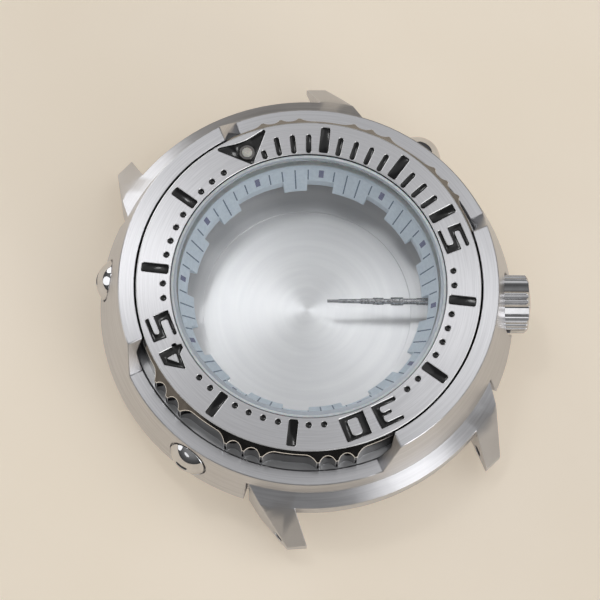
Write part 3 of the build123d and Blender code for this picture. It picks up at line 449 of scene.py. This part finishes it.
# Inner pieces keep their CAD shape
plainNodes = {
    "case_back_gasket": blackRubber, "bezel_gasket": blackRubber,
    "crown_tube_gasket": blackRubber, "crown_gasket": blackRubber,
    "bezel_click_spring": springSteel, "crown_spring": springSteel,
    "crown_washer": polishedSteel, "crown_plunger": polishedSteel,
}
for node, material in plainNodes.items():
    for place in frame["nodes"][node].material_slots:
        place.material = material

# Floor: a plain table with a matte coat, just under the case back
floor = {
    "size": 3.0, "height": -0.01, "colours": ("#EADDC9", "#F0E4D3"), "glow": 0.28,
    "roughness": (0.7, 0.85), "mottle": 40,
}
floorMesh = bmesh.new()
bmesh.ops.create_grid(floorMesh, x_segments=1, y_segments=1, size=floor["size"] / 2,
                      matrix=Matrix.Translation((0, 0, floor["height"] * mm)))
floorData = bpy.data.meshes.new("floor")
floorMesh.to_mesh(floorData)
floorMesh.free()
floorPiece = bpy.data.objects.new("floor", floorData)
scene.collection.objects.link(floorPiece)
floorMaterial = mottledMaterial("matteTable",
                                {"IOR": 1.45, "Emission Color": toLinear(floor["colours"][1])},
                                floor["colours"], floor["roughness"], floor["mottle"])
floorData.materials.append(floorMaterial)
# Camera, steel and glass see the table paler than the lamps alone make it, and its shadows stay
tableTree = floorMaterial.node_tree
rays = addNode(tableTree, "ShaderNodeLightPath").outputs
seen = addNode(tableTree, "ShaderNodeMath", links={0: rays["Is Camera Ray"], 1: rays["Is Glossy Ray"]},
               operation="ADD")
passed = addNode(tableTree, "ShaderNodeMath", links={0: seen.outputs[0], 1: rays["Is Transmission Ray"]},
                 operation="ADD", use_clamp=True)
glow = addNode(tableTree, "ShaderNodeMath", {1: floor["glow"]}, {0: passed.outputs[0]},
               operation="MULTIPLY")
tableTree.links.new(glow.outputs[0], tableTree.nodes["Principled BSDF"].inputs["Emission Strength"])

# Lamps round the watch: bearings count anticlockwise from the picture's right, seen from above.
# A small key beyond the watch draws the stem's shadow, low panels light the shroud's wall, and the
# crown's card is a reflector that lights nothing else
lamps = {
    "key": {"bearing": 130, "height": 65.5, "size": (0.11, 0.11), "radiance": 11.0},
    "overheadPanel": {"bearing": 88, "height": 66, "size": (0.84, 0.42), "radiance": 0.5},
    "highPanelRight": {"bearing": 10, "height": 56, "size": (0.6, 0.7), "radiance": 0.8},
    "lowPanelFrontRight": {"bearing": 315, "height": 16, "size": (0.42, 0.42), "radiance": 3.1},
    "lowPanelBackLeft": {"bearing": 135, "height": 18, "size": (0.42, 0.46), "radiance": 1.8},
    "lowPanelLeft": {"bearing": 180, "height": 16, "size": (0.42, 0.42), "radiance": 1.4},
    "panelFrontRight": {"bearing": 315, "height": 42, "size": (0.42, 0.42), "radiance": 0.9},
    "glintFrontLeft": {"bearing": 226, "height": 30, "size": (0.36, 0.13), "radiance": 1.0},
    "crownCard": {"bearing": 273, "height": 40, "size": (0.5, 0.34), "radiance": 1.0, "only": crownPiece},
}
stage = {"lampDistance": 0.8, "right": (0.8876, -0.4606, 0), "beyond": (0.4606, 0.8876, 0)}
right, beyond = Vector(stage["right"]), Vector(stage["beyond"])
for name, lamp in lamps.items():
    data = bpy.data.lights.new(name, "AREA")
    data.shape = "ELLIPSE"
    data.size, data.size_y = lamp["size"]
    data.energy = lamp["radiance"] * pi * pi / 4 * data.size * data.size_y  # watts for that radiance
    bearing, height = radians(lamp["bearing"]), radians(lamp["height"])
    lampWay = (right * cos(bearing) + beyond * sin(bearing)) * cos(height) + Vector((0, 0, sin(height)))
    facing = lampWay.to_track_quat("Z", "Y").to_matrix().to_4x4()
    lampObject = bpy.data.objects.new(name, data)
    lampObject.matrix_world = Matrix.Translation(lampWay * stage["lampDistance"]) @ facing
    lampObject.visible_camera = False
    if "only" in lamp:
        lit = bpy.data.collections.new(name)
        lit.objects.link(lamp["only"])
        lampObject.light_linking.receiver_collection = lit
    scene.collection.objects.link(lampObject)

# The room is dark low down and grey overhead, so that polished steel shows dark and bright bands
room = {"tones": ((0.0, 0.06), (0.3, 0.12), (0.6, 0.27), (1.0, 0.29)), "strength": 1.0}
world = bpy.data.worlds.new("room")
scene.world = world
world.use_nodes = True
roomTree = world.node_tree
roomWay = addNode(roomTree, "ShaderNodeTexCoord").outputs["Generated"]
roomHeight = addNode(roomTree, "ShaderNodeSeparateXYZ", links={"Vector": roomWay}).outputs["Z"]
roomTones = addNode(roomTree, "ShaderNodeValToRGB", links={"Fac": roomHeight})
while len(roomTones.color_ramp.elements) < len(room["tones"]):
    roomTones.color_ramp.elements.new(0.5)
for element, (height, tone) in zip(roomTones.color_ramp.elements, room["tones"]):
    element.position = height
    element.color = (tone, tone, tone, 1)
roomTree.links.new(roomTones.outputs["Color"], roomTree.nodes["Background"].inputs["Color"])
roomTree.nodes["Background"].inputs["Strength"].default_value = room["strength"]
print("stage lit")
